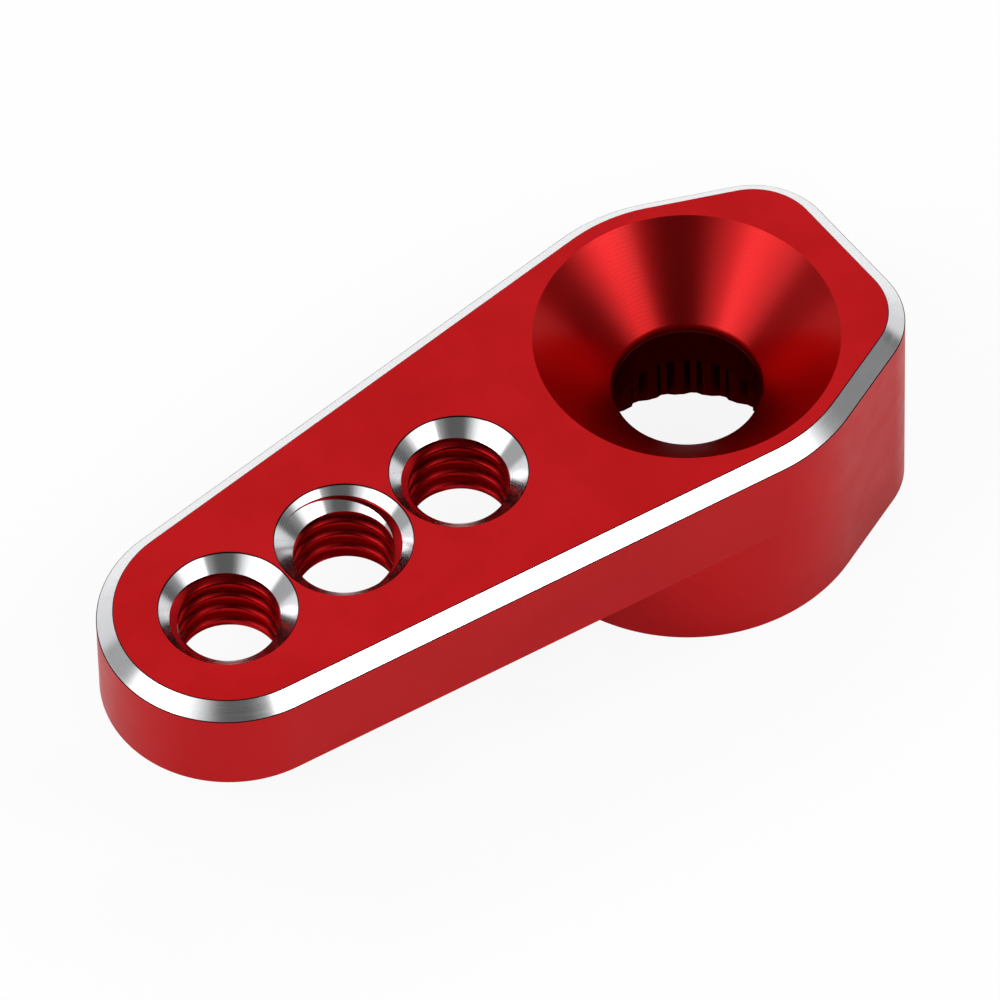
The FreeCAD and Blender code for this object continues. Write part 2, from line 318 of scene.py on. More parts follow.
def tapped_shaded_red():
    finish, tree, shader = start_finish("tapped_shaded_red", specular_tint=(0.8, 0.35, 0.35, 1))
    vector = place_mm(tree)
    red_colour(tree, shader, vector, TAPPED_SHADED_DEEP, TAPPED_SHADED_LIGHT)
    join(tree, spread(tree, noise(tree, vector, 9.0), 0.15, 0.24), shader, "Roughness")
    add_relief(tree, shader, noise(tree, vector, 22.0), TAPPED_RELIEF)
    return finish


tapped = tapped_shaded_red()
print("finish:", tapped.name, "with a relief of", TAPPED_RELIEF, "mm")

# %% [markdown]
# ### Painted shade: dark red
#
# The screw bore and the socket get a red several shades darker than the open faces. It is painted shade,
# for the shade deep inside the hub, and from above they look almost black. The broken bottom edges get the
# same dark red as a painted shadow under the horn, and it draws a fine line round the horn.

# %% Painted shade: dark red for the screw bore, the splined socket and the bottom edges
# painted shade: this dark red stands in for the shade in the bore and the socket and under the bottom edges
BORE_PAINTED_SHADE = (0.12, 0.0025, 0.003, 1)
DEEP_RELIEF = 0.0012


def painted_shade_red():
    finish, tree, shader = start_finish("painted_shade_red", base_color=BORE_PAINTED_SHADE, specular_tint=(0.3, 0.03, 0.03, 1))
    vector = place_mm(tree)
    join(tree, spread(tree, noise(tree, vector, 5.0), 0.34, 0.46), shader, "Roughness")
    add_relief(tree, shader, noise(tree, vector, 18.0, detail=3.0), DEEP_RELIEF)
    return finish


# the finish of painted shade
deep = painted_shade_red()
print("finish:", deep.name, "with a relief of", DEEP_RELIEF, "mm")

# %% [markdown]
# ### Bright cut
#
# The last pass is made after the dye bath, so it shows bare aluminium: nearly white, and so smooth that
# it mirrors the lamps. Along the edge the mill leaves faint streaks in the direction that it travelled,
# and in the mouths of the holes it leaves rings.

# %% Bare aluminium for the cut edge and the hole mouths
BARE_METAL = (0.905, 0.91, 0.925, 1)
SKIN_RED = (0.03, 0.003, 0.004, 1)
EDGE_RELIEF = 0.0012
MOUTH_FEED = 0.05
MOUTH_RELIEF = 0.00015
SKIN_BLEND = 0.005
# how dense the streaks are: a little along the edge in millimetres, and a lot across the width of the cut
STREAK_DENSITY = (0.7, 14.0, 1.0)


def bright_edge():
    """Streaks along the cut edge, read from the piece's own map of that edge."""
    finish, tree, shader = start_finish(
        "bright_edge", base_color=BARE_METAL, anisotropic=0.4, anisotropic_rotation=ACROSS)
    run = add_node(tree, "ShaderNodeUVMap", uv_map="edge_run").outputs["UV"]
    along = add_node(tree, "ShaderNodeMapping")
    along.inputs["Scale"].default_value = STREAK_DENSITY
    join(tree, run, along, "Vector")
    streaks = noise(tree, along.outputs["Vector"], 1.0, detail=3.0, roughness=0.65)
    join(tree, spread(tree, streaks, 0.14, 0.26), shader, "Roughness")
    tangent = add_node(tree, "ShaderNodeTangent", direction_type="UV_MAP", uv_map="edge_run")
    join(tree, tangent.outputs["Tangent"], shader, "Tangent")
    add_relief(tree, shader, streaks, EDGE_RELIEF)
    return finish


def bright_mouth():
    """Rings about each tapped hole, and the dark skin at its rim. The row is folded onto one hole."""
    finish, tree, shader = start_finish("bright_mouth", anisotropic=0.3, anisotropic_rotation=ACROSS)
    vector = place_mm(tree)
    split = join(tree, vector, add_node(tree, "ShaderNodeSeparateXYZ"), 0)
    from_first = calculate(tree, "SUBTRACT", split.outputs["X"], link_x[0] - link_pitch / 2)
    folded = calculate(tree, "MODULO", from_first, link_pitch)
    centred = calculate(tree, "SUBTRACT", folded, link_pitch / 2)
    local = point_at(tree, centred, split.outputs["Y"], split.outputs["Z"])
    radius, around = ring_coordinates(tree, local)
    join(tree, around, shader, "Tangent")
    rim = link_core + link_chamfer - OXIDE_EDGE
    skin = spread(tree, radius, 0.0, 1.0, rim - SKIN_BLEND, rim + SKIN_BLEND)
    join(tree, blend(tree, skin, BARE_METAL, SKIN_RED), shader, "Base Color")
    rings = ring_marks(tree, local, MOUTH_FEED)
    join(tree, spread(tree, rings, 0.10, 0.17, 0.0, 1.0), shader, "Roughness")
    add_relief(tree, shader, rings, MOUTH_RELIEF)
    return finish


def cut_skin():
    """The red oxide skin where the bright cut slices through it: a hairline of dark red."""
    finish, tree, shader = start_finish("cut_skin", base_color=SKIN_RED)
    vector = place_mm(tree)
    join(tree, spread(tree, noise(tree, vector, 6.0), 0.35, 0.5), shader, "Roughness")
    return finish


FINISHES = [satin, turned, tapped, deep, bright_edge(), bright_mouth(), cut_skin()]
SATIN, TURNED, TAPPED, SHADE_PAINTED, EDGE, MOUTH, SKIN = range(len(FINISHES))
print("finishes:", [finish.name for finish in FINISHES])

# %% [markdown]
# ## The blank
#
# The plan of the horn is two round ends joined by their common tangents, with the back of the hub cut
# off by two sloped faces and a flat. All of it flows from arc to line without a corner, so a point's
# outward direction is known exactly, and insetting the outline for the edge cut is one subtraction.

# %% Plan of the horn
# length over which the broken bottom edge of the arm runs out where it meets the foot
FADE_LENGTH = 0.25


def arc_points(centre_x, centre_y, radius, start, end):
    """Points of an arc with their outward directions: (x, y, outward x, outward y)."""
    steps = max(2, round((end - start) / ARC_STEP))
    points = []
    for step in range(steps + 1):
        turn = math.radians(start + (end - start) * step / steps)
        out = math.cos(turn), math.sin(turn)
        points.append((centre_x + radius * out[0], centre_y + radius * out[1], *out))
    return points


def rear_outline():
    """From the arm's upper tangent point, round the back of the hub, to the lower one."""
    corner_x = -end_reach + END_CORNER_RADIUS
    slope = math.radians(cut_turn)
    corner_y = (hub_radius - END_CORNER_RADIUS - corner_x * math.cos(slope)) / math.sin(slope)
    return (arc_points(0, 0, hub_radius, side_turn, cut_turn)
            + arc_points(corner_x, corner_y, END_CORNER_RADIUS, cut_turn, 180)
            + arc_points(corner_x, -corner_y, END_CORNER_RADIUS, 180, 360 - cut_turn)
            + arc_points(0, 0, hub_radius, 360 - cut_turn, 360 - side_turn))


def tip_outline():
    """The arm's sides and round end, without the two tangent points on the hub."""
    tip = arc_points(tip_x, 0, tip_radius, -side_turn, side_turn)
    out = math.radians(side_turn)
    along = Vector((math.sin(out), -math.cos(out)))
    start = Vector((hub_radius * math.cos(out), hub_radius * math.sin(out))) + FADE_LENGTH * along
    upper = (start.x, start.y, math.cos(out), math.sin(out))
    lower = (start.x, -start.y, math.cos(out), -math.sin(out))
    return [lower] + tip + [upper]


rear = rear_outline()
tip = tip_outline()
foot_front = arc_points(0, 0, hub_radius, -side_turn, side_turn)[1:-1]
print("outline points:", len(rear) + len(tip), "of which the foot shares", len(rear))

# %% [markdown]
# Now the outline becomes a closed mesh, one ring of vertices at each height where the section changes.
# The back of the hub is a wall of full height. Under the arm the cutter has gone round the hub, so there
# the foot has its own wall, and a flat underside joins the two. The bottom edges are broken by a few
# hundredths of a millimetre, as a tumbled part's are, so that they don't look like paper.

# %% Blank of the horn
def ring(mesh, points, z, inset):
    """One vertex for each outline point, moved inwards by its inset."""
    insets = inset if isinstance(inset, list) else [inset] * len(points)
    return [mesh.verts.new((x - d * nx, y - d * ny, z)) for (x, y, nx, ny), d in zip(points, insets)]


def wall(mesh, lower, upper, finish, closed=True):
    """Faces between two rings, triangles where an edge has no length left."""
    count = len(lower)
    faces = []
    for this in range(count if closed else count - 1):
        after = (this + 1) % count
        corners = []
        for vertex in (lower[this], lower[after], upper[after], upper[this]):
            if vertex not in corners:
                corners.append(vertex)
        if len(corners) > 2:
            face = mesh.faces.new(corners)
            face.material_index = finish
            faces.append(face)
    return faces


def lay_edge_run(mesh, faces, outline, across):
    """Writes how far along the edge, and how far across the cut, each corner of the cut's faces lies."""
    layer = mesh.loops.layers.uv["edge_run"]
    run = 0.0
    for this, face in enumerate(faces):
        x, y = outline[this][:2]
        next_x, next_y = outline[(this + 1) % len(outline)][:2]
        length = math.hypot(next_x - x, next_y - y)
        for loop, (u, v) in zip(face.loops, ((run, across[0]), (run + length, across[0]),
                                             (run + length, across[1]), (run, across[1]))):
            loop[layer].uv = (u, v)
        run += length
    return run


def make_blank():
    mesh = bmesh.new()
    mesh.loops.layers.uv.new("edge_run")
    horn = tip + rear
    foot = foot_front + rear
    # the broken edge runs out to nothing at both ends, where the arm meets the foot
    fades = [0.0 if index in (0, len(tip) - 1) else EDGE_BREAK for index in range(len(tip))]

    foot_low = ring(mesh, foot, 0, EDGE_BREAK)
    foot_edge = ring(mesh, foot, EDGE_BREAK, 0)
    foot_top = ring(mesh, foot, arm_under, 0)
    rear_under = foot_top[len(foot_front):]
    under = ring(mesh, tip, arm_under, fades)
    arm_edge = [low_vertex if fade == 0 else mesh.verts.new((x, y, arm_under + fade))
                for low_vertex, fade, (x, y, _, _) in zip(under, fades, tip)]

    mesh.faces.new(list(reversed(foot_low))).material_index = SATIN
    # painted shadow: the broken bottom edge of the foot takes the dark red of painted shade
    wall(mesh, foot_low, foot_edge, SHADE_PAINTED)
    wall(mesh, foot_edge, foot_top, SATIN)
    # the underside runs out along the arm's edge and back along the front of the foot
    front = foot_top[:len(foot_front)]
    border = under + [rear_under[0]] + list(reversed(front)) + [rear_under[-1]]
    mesh.faces.new(list(reversed(border))).material_index = SATIN
    # painted shadow: the broken bottom edge of the arm takes the same dark red
    wall(mesh, under, arm_edge, SHADE_PAINTED, closed=False)

    cut_low = hub_height - EDGE_CUT_HEIGHT
    skin = OXIDE_EDGE / math.hypot(EDGE_CUT_WIDTH, EDGE_CUT_HEIGHT)
    levels = [(0.0, SKIN), (skin, EDGE), (1 - skin, SKIN), (1.0, None)]
    previous = arm_edge + rear_under
    previous_share = None
    finish = SATIN
    for share, next_finish in levels:
        current = ring(mesh, horn, cut_low + share * EDGE_CUT_HEIGHT, share * EDGE_CUT_WIDTH)
        faces = wall(mesh, previous, current, finish)
        if previous_share is not None:
            edge_length = lay_edge_run(mesh, faces, horn, (previous_share, share))
        previous, previous_share, finish = current, share, next_finish
    mesh.faces.new(previous).material_index = SATIN

    bmesh.ops.recalc_face_normals(mesh, faces=mesh.faces)
    print("length of the cut edge, mm:", round(edge_length, 2))
    return mesh


def piece_from(mesh, name):
    """Turns a bmesh into an object that carries all the finishes."""
    data = bpy.data.meshes.new(name)
    mesh.to_mesh(data)
    mesh.free()
    for finish in FINISHES:
        data.materials.append(finish)
    piece = bpy.data.objects.new(name, data)
    bpy.context.scene.collection.objects.link(piece)
    return piece


def measure(piece):
    """Volume and number of open edges: a closed piece has none."""
    mesh = bmesh.new()
    mesh.from_mesh(piece.data)
    open_edges = sum(1 for edge in mesh.edges if len(edge.link_faces) != 2)
    volume = mesh.calc_volume()
    mesh.free()
    return volume, open_edges


horn = piece_from(make_blank(), "anodised_horn")
print("blank: volume %.2f mm3, open edges %d" % measure(horn))

# %% [markdown]
# ## Taking material away
#
# The holes are cut with tools, as on the machine. A tool is a closed mesh with the finish that it leaves
# behind, and a Boolean takes it out of the blank, so the new faces carry that finish.

# %% Cut with a tool
def cut_with(piece, tool, title):
    """Takes the tool out of the piece for good, and throws the tool away."""
    step = piece.modifiers.new(title, "BOOLEAN")
    step.operation = "DIFFERENCE"
    step.solver = "EXACT"
    step.material_mode = "TRANSFER"
    step.object = tool
    graph = bpy.context.evaluated_depsgraph_get()
    result = bpy.data.meshes.new_from_object(piece.evaluated_get(graph))
    piece.modifiers.clear()
    worn = piece.data
    piece.data = result
    bpy.data.meshes.remove(worn)
    bpy.data.objects.remove(tool)
    print("%s: volume %.2f mm3, open edges %d, faces %d" % (
        title, *measure(piece), len(piece.data.polygons)))


def turned_tool(name, section):
    """A closed tool turned about the hub's axis. section lists (radius, z, finish of the band above)."""
    mesh = bmesh.new()
    mesh.loops.layers.uv.new("edge_run")
    turns = [2 * math.pi * step / ROUND_STEPS for step in range(ROUND_STEPS)]
    rings = [[mesh.verts.new((radius * math.cos(turn), radius * math.sin(turn), z)) for turn in turns]
             for radius, z, _ in section]
    for lower, upper, (_, _, finish) in zip(rings, rings[1:], section):
        wall(mesh, lower, upper, finish)
    mesh.faces.new(list(reversed(rings[0]))).material_index = SATIN
    mesh.faces.new(rings[-1]).material_index = SATIN
    bmesh.ops.recalc_face_normals(mesh, faces=mesh.faces)
    return piece_from(mesh, name)


# %% [markdown]
# ### Hub
#
# From below: the lead-in, the socket at the crests of its teeth, its flat ceiling, the screw bore and the
# countersink. One section turned about the axis makes them all.

# %% Countersink, screw bore and socket
# how far a tool runs out past the part, so that no face of it lies on a face of the part
OVERRUN = 0.4
SEAT_ROUND = 0.35
SEAT_STEPS = 5


def rounded_seat():
    """The worn corner between the upright bore and the 45 degree cone, as an arc that touches both."""
    drop = SEAT_ROUND * math.tan(math.radians(22.5))
    points = []
    for step in range(SEAT_STEPS + 1):
        turn = math.radians(180 - 45 * step / SEAT_STEPS)
        points.append((screw_bore + SEAT_ROUND * (1 + math.cos(turn)),
                       seat_z - drop + SEAT_ROUND * math.sin(turn), TURNED))
    return points


socket_lead = SOCKET_MOUTH - spline_crest
# the socket and the screw bore take the dark red of painted shade
hub_tool = turned_tool("hub_tool", [
    (SOCKET_MOUTH + OVERRUN, -OVERRUN, SHADE_PAINTED),
    (spline_crest, socket_lead, SHADE_PAINTED),
    (spline_crest, socket_depth, SHADE_PAINTED),
    (screw_bore, socket_depth, SHADE_PAINTED),
    *rounded_seat(),
    (countersink_radius + OVERRUN, hub_height + OVERRUN, TURNED)])
cut_with(horn, hub_tool, "hub bored")

# %% [markdown]
# ### Tooth spaces
#
# A broach cuts all the spaces between the socket's teeth in one stroke. In Geometry Nodes that is one
# space, drawn once, and a copy of it for each tooth, turned by its share of the circle.

# %% Broach made of one repeated tooth space
# how far the broach reaches inside the crests, so that it cuts right through the bored wall
BROACH_REACH = 0.12
MERGE_DISTANCE = 1e-5


def new_tree(name, inputs):
    """A node tree with named inputs: returns the tree and its input and output nodes."""
    tree = bpy.data.node_groups.new(name, "GeometryNodeTree")
    for title, kind in inputs:
        tree.interface.new_socket(name=title, in_out="INPUT", socket_type="NodeSocket" + kind)
    tree.interface.new_socket(name="Geometry", in_out="OUTPUT", socket_type="NodeSocketGeometry")
    return tree, tree.nodes.new("NodeGroupInput"), tree.nodes.new("NodeGroupOutput")


def four_corners(tree, near, far, near_width, far_width):
    """A trapezium that reaches from near to far along X, with a width along Y at each end."""
    shape = add_node(tree, "GeometryNodeCurvePrimitiveQuadrilateral", mode="POINTS")
    corners = ((near, near_width, -0.5), (far, far_width, -0.5),
               (far, far_width, 0.5), (near, near_width, 0.5))
    for number, (x, width, half) in enumerate(corners, start=1):
        place = point_at(tree, x, calculate(tree, "MULTIPLY", width, half))
        tree.links.new(place, shape.inputs["Point %d" % number])
    return shape.outputs["Curve"]


def finish_tree(tree, geometry, material, target):
    """Every tree ends the same way: real geometry, with its finish on it."""
    real = join(tree, geometry, add_node(tree, "GeometryNodeRealizeInstances"), "Geometry")
    dressed = join(tree, real.outputs[0], add_node(tree, "GeometryNodeSetMaterial"), "Geometry")
    tree.links.new(material, dressed.inputs["Material"])
    tree.links.new(dressed.outputs[0], target.inputs[0])


def broach_tree():
    tree, given, made = new_tree("Broach", [
        ("Teeth", "Int"), ("Root radius", "Float"), ("Inner radius", "Float"), ("Root width", "Float"),
        ("Inner width", "Float"), ("Start height", "Float"), ("Depth", "Float"), ("Finish", "Material")])
    sizes = given.outputs
    section = four_corners(tree, sizes["Inner radius"], sizes["Root radius"], sizes["Inner width"],
                           sizes["Root width"])
    floor = join(tree, section, add_node(tree, "GeometryNodeFillCurve", mode="NGONS"), "Curve").outputs[0]
    rise = add_node(tree, "GeometryNodeExtrudeMesh", {"Individual": False}, mode="FACES")
    join(tree, floor, rise, "Mesh")
    tree.links.new(point_at(tree, 0.0, 0.0, 1.0), rise.inputs["Offset"])
    tree.links.new(sizes["Depth"], rise.inputs["Offset Scale"])
    turned_over = join(tree, floor, add_node(tree, "GeometryNodeFlipFaces"), "Mesh").outputs[0]
    both = add_node(tree, "GeometryNodeJoinGeometry")
    tree.links.new(rise.outputs["Mesh"], both.inputs[0])
    tree.links.new(turned_over, both.inputs[0])
    closed = add_node(tree, "GeometryNodeMergeByDistance", {"Distance": MERGE_DISTANCE})
    join(tree, both.outputs[0], closed, "Geometry")
    points = add_node(tree, "GeometryNodePoints")
    tree.links.new(sizes["Teeth"], points.inputs["Count"])
    tree.links.new(point_at(tree, 0.0, 0.0, sizes["Start height"]), points.inputs["Position"])
    copies = add_node(tree, "GeometryNodeInstanceOnPoints")
    join(tree, points.outputs[0], copies, "Points")
    join(tree, closed.outputs[0], copies, "Instance")
    share = calculate(tree, "DIVIDE", 2 * math.pi, sizes["Teeth"])
    turn = calculate(tree, "MULTIPLY", share, add_node(tree, "GeometryNodeInputIndex").outputs[0])
    tree.links.new(point_at(tree, 0.0, 0.0, turn), copies.inputs["Rotation"])
    finish_tree(tree, copies.outputs[0], sizes["Finish"], made)
    return tree


def grow(tree, name, values):
    """Runs a tree on an empty object, with its inputs set by name, and returns a plain mesh object."""
    data = bpy.data.meshes.new(name)
    piece = bpy.data.objects.new(name, data)
    bpy.context.scene.collection.objects.link(piece)
    step = piece.modifiers.new(name, "NODES")
    step.node_group = tree
    for socket in tree.interface.items_tree:
        if socket.in_out == "INPUT":
            step[socket.identifier] = values[socket.name]
    graph = bpy.context.evaluated_depsgraph_get()
    result = bpy.data.meshes.new_from_object(piece.evaluated_get(graph))
    piece.modifiers.clear()
    piece.data = result
    bpy.data.meshes.remove(data)
    print("%s: %d faces, volume %.3f mm3, open edges %d" % (name, len(result.polygons), *measure(piece)))
    return piece


flank = math.tan(math.radians(SPLINE_FLANK_ANGLE / 2))
inner = spline_crest - BROACH_REACH
# the tooth spaces take the dark red of painted shade too
broach = grow(broach_tree(), "broach", {
    "Teeth": SPLINE_TEETH, "Root radius": SPLINE_ROOT, "Inner radius": inner,
    "Root width": SPLINE_ROOT_WIDTH, "Inner width": SPLINE_ROOT_WIDTH + 2 * (SPLINE_ROOT - inner) * flank,
    "Start height": -OVERRUN, "Depth": socket_depth + OVERRUN, "Finish": FINISHES[SHADE_PAINTED]})
cut_with(horn, broach, "socket broached")

# %% [markdown]
# ### Tapped holes
#
# The drill comes first: one cylinder, and a copy of it for each hole of the row.

# %% Drills in a row
DRILL_STEPS = 128


def copies_in_row(tree, sizes, height, tool):
    """A copy of the tool at each hole of the row, at one height."""
    row = add_node(tree, "GeometryNodeMeshLine", mode="OFFSET")
    tree.links.new(sizes["Count"], row.inputs["Count"])
    tree.links.new(point_at(tree, sizes["First"], 0.0, height), row.inputs["Start Location"])
    tree.links.new(point_at(tree, sizes["Pitch"], 0.0), row.inputs["Offset"])
    copies = add_node(tree, "GeometryNodeInstanceOnPoints")
    join(tree, row.outputs[0], copies, "Points")
    return join(tree, tool, copies, "Instance")


def drill_row_tree():
    tree, given, made = new_tree("Row of drills", [
        ("Count", "Int"), ("First", "Float"), ("Pitch", "Float"), ("Radius", "Float"),
        ("Middle height", "Float"), ("Length", "Float"), ("Round steps", "Int"), ("Finish", "Material")])
    sizes = given.outputs
    drill = add_node(tree, "GeometryNodeMeshCylinder", fill_type="NGON")
    tree.links.new(sizes["Round steps"], drill.inputs["Vertices"])
    tree.links.new(sizes["Radius"], drill.inputs["Radius"])
    tree.links.new(sizes["Length"], drill.inputs["Depth"])
    copies = copies_in_row(tree, sizes, sizes["Middle height"], drill.outputs["Mesh"])
    finish_tree(tree, copies.outputs[0], sizes["Finish"], made)
    return tree


drills = grow(drill_row_tree(), "drills", {
    "Count": len(link_x), "First": link_x[0], "Pitch": link_pitch, "Radius": link_core,
    "Middle height": link_middle_z, "Length": hub_height - arm_under + 2 * OVERRUN,
    "Round steps": DRILL_STEPS, "Finish": FINISHES[TAPPED]})
cut_with(horn, drills, "link holes drilled")

# %% [markdown]
# Then comes the tap. The thread is a helix: one groove profile swept along a spiral that climbs one pitch
# a turn. The sweep runs a little past both faces, so the groove runs out into the open instead of
# stopping short. Each hole's thread starts at its own angle, as it does on the machine.
#
# The groove's section is a line of points: its place along the line gives each point a share from -1 to
# 1, and the share gives it a depth. Most points crowd near the crests, where the thread is rounded.

# %% Tap as a swept helix
# a power: the higher it is, the sharper the root of the groove and the rounder its crests
CREST_ROUNDING = 2.4
CREST_FLAT = 0.2
# how far the tap stays inside the bore, where its section closes
THREAD_BITE = 0.04
PROFILE_STEPS = 12
HELIX_STEPS = 96
THREAD_STARTS = {"link_hole_near": 86.0, "link_hole_middle": 259.0, "link_hole_tip": 65.0}


def groove_profile(tree, depth, width, bite, steps):
    """Section of one groove, closed inside the bore: sharp at the root, and rounded over at the crests."""
    index = add_node(tree, "GeometryNodeInputIndex").outputs[0]
    half = calculate(tree, "MULTIPLY", steps, 0.5)
    from_root = calculate(tree, "SUBTRACT", calculate(tree, "SUBTRACT", index, 1.0), half)
    share = calculate(tree, "MINIMUM", calculate(tree, "DIVIDE", from_root, half), 1.0)
    share = calculate(tree, "MAXIMUM", share, -1.0)
    away = calculate(tree, "ABSOLUTE", share)
    fall = calculate(tree, "POWER", calculate(tree, "SUBTRACT", 1.0, away), CREST_ROUNDING)
    crowded = calculate(tree, "MULTIPLY", share, calculate(tree, "SUBTRACT", 2.0, away))
    along = calculate(tree, "MULTIPLY", crowded, calculate(tree, "MULTIPLY", width, 0.5))
    line = add_node(tree, "GeometryNodeResampleCurve")
    join(tree, add_node(tree, "GeometryNodeCurvePrimitiveLine").outputs[0], line, "Curve")
    tree.links.new(calculate(tree, "ADD", steps, 3.0), line.inputs["Count"])
    bent = join(tree, line.outputs[0], add_node(tree, "GeometryNodeSetPosition"), "Geometry")
    sunk_by = calculate(tree, "MULTIPLY", fall, depth)
    tree.links.new(point_at(tree, sunk_by, along), bent.inputs["Position"])
    pulled = join(tree, bent.outputs[0], add_node(tree, "GeometryNodeSetPosition"), "Geometry")
    ends = add_node(tree, "GeometryNodeCurveEndpointSelection")
    tree.links.new(ends.outputs[0], pulled.inputs["Selection"])
    tree.links.new(point_at(tree, calculate(tree, "MULTIPLY", bite, -1.0), 0.0), pulled.inputs["Offset"])
    closed = add_node(tree, "GeometryNodeSetSplineCyclic", {"Cyclic": True})
    return join(tree, pulled.outputs[0], closed, 0).outputs[0]


def tap_tree():
    tree, given, made = new_tree("Tap", [
        ("Centre", "Vector"), ("Core radius", "Float"), ("Bite", "Float"), ("Groove depth", "Float"),
        ("Groove width", "Float"), ("Profile steps", "Int"), ("Pitch", "Float"), ("Turns", "Float"),
        ("Start turn", "Float"), ("Steps a turn", "Int"), ("Finish", "Material")])
    sizes = given.outputs
    path = add_node(tree, "GeometryNodeCurveSpiral")
    for socket, value in (("Resolution", sizes["Steps a turn"]), ("Rotations", sizes["Turns"]),
                          ("Start Radius", sizes["Core radius"]), ("End Radius", sizes["Core radius"]),
                          ("Height", calculate(tree, "MULTIPLY", sizes["Turns"], sizes["Pitch"]))):
        tree.links.new(value, path.inputs[socket])
    path.inputs["Reverse"].default_value = True
    upright = add_node(tree, "GeometryNodeSetCurveNormal", mode="Z_UP")
    join(tree, path.outputs[0], upright, "Curve")
    groove = groove_profile(tree, sizes["Groove depth"], sizes["Groove width"], sizes["Bite"],
                            sizes["Profile steps"])
    sweep = add_node(tree, "GeometryNodeCurveToMesh", {"Fill Caps": True})
    join(tree, upright.outputs[0], sweep, "Curve")
    join(tree, groove, sweep, "Profile Curve")
    placed = add_node(tree, "GeometryNodeTransform")
    join(tree, sweep.outputs[0], placed, "Geometry")
    tree.links.new(sizes["Centre"], placed.inputs["Translation"])
    tree.links.new(point_at(tree, 0.0, 0.0, sizes["Start turn"]), placed.inputs["Rotation"])
    finish_tree(tree, placed.outputs[0], sizes["Finish"], made)
    return tree


tap = tap_tree()
thread_turns = (hub_height - arm_under + 2 * OVERRUN) / THREAD_PITCH
for name, x in zip(LINK_HOLES, link_x):
    thread = grow(tap, "tap_" + name, {
        "Centre": (x, 0, arm_under - OVERRUN), "Core radius": link_core, "Bite": THREAD_BITE,
        "Groove depth": THREAD_MAJOR - link_core, "Groove width": THREAD_PITCH - CREST_FLAT,
        "Profile steps": PROFILE_STEPS, "Pitch": THREAD_PITCH, "Turns": thread_turns,
        "Start turn": math.radians(THREAD_STARTS[name]), "Steps a turn": HELIX_STEPS,
        "Finish": FINISHES[TAPPED]})
    cut_with(horn, thread, name + " tapped")

# %% [markdown]
# ### Bright-cut mouths
#
# Only now come the chamfers of the tapped holes, because the real ones cut through the finished thread.
# Where the groove is deeper than the chamfer it stays red, and where the chamfer is deeper it is bare.

# %% Chamfers above and below
MILL_STEPS = 144
MILL_TIP = 0.2
MILL_OVERRUN = 0.1
# radians: a small turn, so that no facet of the mill lines up with one of the drill
MILL_TURN = 0.013


def chamfer_row_tree():
    tree, given, made = new_tree("Row of chamfer mills", [
        ("Count", "Int"), ("First", "Float"), ("Pitch", "Float"), ("Small radius", "Float"),
        ("Large radius", "Float"), ("Height", "Float"), ("Length", "Float"), ("Upside down", "Float"),
        ("Round steps", "Int"), ("Finish", "Material")])
    sizes = given.outputs
    mill = add_node(tree, "GeometryNodeMeshCone", fill_type="NGON")
    for socket, title in (("Vertices", "Round steps"), ("Radius Top", "Large radius"),
                          ("Radius Bottom", "Small radius"), ("Depth", "Length")):
        tree.links.new(sizes[title], mill.inputs[socket])
    copies = copies_in_row(tree, sizes, sizes["Height"], mill.outputs["Mesh"])
    half_turn = calculate(tree, "MULTIPLY", sizes["Upside down"], math.pi)
    tree.links.new(point_at(tree, half_turn, 0.0, MILL_TURN), copies.inputs["Rotation"])
    finish_tree(tree, copies.outputs[0], sizes["Finish"], made)
    return tree


mills = chamfer_row_tree()
mill_large = link_core + link_chamfer + MILL_OVERRUN
length = mill_large - MILL_TIP
chamfers = {"above": (hub_height + MILL_OVERRUN, 0.0), "below": (arm_under - MILL_OVERRUN, 1.0)}
for where, (base_z, flipped) in chamfers.items():
    apex = base_z - length if flipped == 0 else base_z + length
    mill = grow(mills, "mills_" + where, {
        "Count": len(link_x), "First": link_x[0], "Pitch": link_pitch, "Small radius": MILL_TIP,
        "Large radius": mill_large, "Height": apex, "Length": length, "Upside down": flipped,
        "Round steps": MILL_STEPS, "Finish": FINISHES[MOUTH]})
    cut_with(horn, mill, "chamfered " + where)

# %% [markdown]
# ## Shading and size
#
# Round walls are shaded smooth, and an edge that bends by more than 18 degrees stays an edge, unless both
# its faces belong to a thread. Then the piece goes from millimetres to metres, and takes the place of the
# plain solid in the frame.

# %% Finish the mesh and hand it to the frame
SHARP_DEGREES = 18


def soften_threads(mesh):
    """A tap leaves no corner on a thread: edges between two faces of the thread are shaded round."""
    shape = bmesh.new()
    shape.from_mesh(mesh)
    softened = 0
    for edge in shape.edges:
        if all(face.material_index == TAPPED for face in edge.link_faces):
            edge.smooth = True
            softened += 1
    shape.to_mesh(mesh)
    shape.free()
    print("edges shaded round on the threads:", softened)


def finish_piece(piece):
    mesh = piece.data
    mesh.transform(Matrix.Scale(MM, 4))
    mesh.shade_smooth()
    mesh.set_sharp_from_angle(angle=math.radians(SHARP_DEGREES))
    soften_threads(mesh)
    mesh.update()
    print("finished piece: %d faces, %d triangles" % (
        len(mesh.polygons), sum(len(face.vertices) - 2 for face in mesh.polygons)))


finish_piece(horn)
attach(horn, "root")
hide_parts(NODE)

# %% [markdown]
# ## Floor, lamps and camera
#
# Metal is only as good as what it mirrors. Two soft lamps stand left and right of the camera with a dark
# gap between them, a wide one hangs behind, and the floor is white. The gap is what draws the dark bands
# in the countersink and on the cut edge.

# %% White floor
FLOOR_SIZE = 3.0
PAPER = (0.85, 0.85, 0.85, 1)
# the share of plain white in the floor, as the camera sees it and as the metal mirrors it
WHITE_SEEN = 0.9
WHITE_MIRRORED = 0.08


